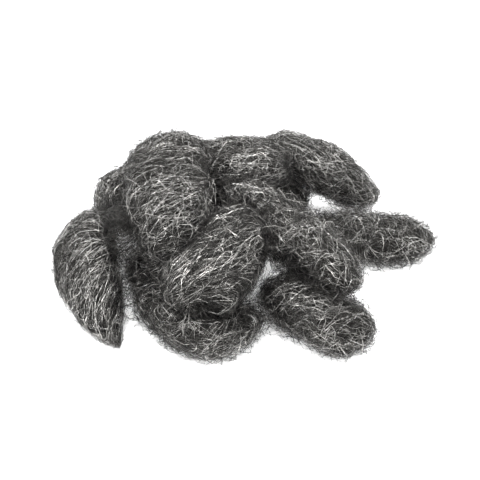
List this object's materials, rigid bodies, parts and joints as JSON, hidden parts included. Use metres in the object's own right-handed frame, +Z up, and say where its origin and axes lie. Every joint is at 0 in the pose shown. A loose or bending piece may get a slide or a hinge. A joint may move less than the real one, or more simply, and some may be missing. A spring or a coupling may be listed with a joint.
{
  "type": "steel wool bundle",
  "caption": "Loose heap of soft hand pads of steel wool, each a wound and folded wad of fine shaved steel fibre for scouring and polishing.",
  "frame": {"origin": "on the resting surface, under the middle of the heap's box", "axes": "+X along the heap's longest side, +Y towards its back, +Z up"},
  "size_m": [0.2688, 0.2124, 0.0814],
  "materials": {
    "steel_wool": "matted fine shaved steel fibre, dull dark grey with bright edges on the fibres"
  },
  "bodies": {
    "root": {"upper_left_pad": "steel_wool", "rolled_front_pad": "steel_wool", "diagonal_pad": "steel_wool", "back_pad": "steel_wool", "left_pad": "steel_wool", "arched_back_pad": "steel_wool", "low_front_pad": "steel_wool", "front_right_pad": "steel_wool", "left_back_pad": "steel_wool", "right_pad": "steel_wool", "low_back_pad": "steel_wool", "inner_pad": "steel_wool"}
  },
  "joints": []
}
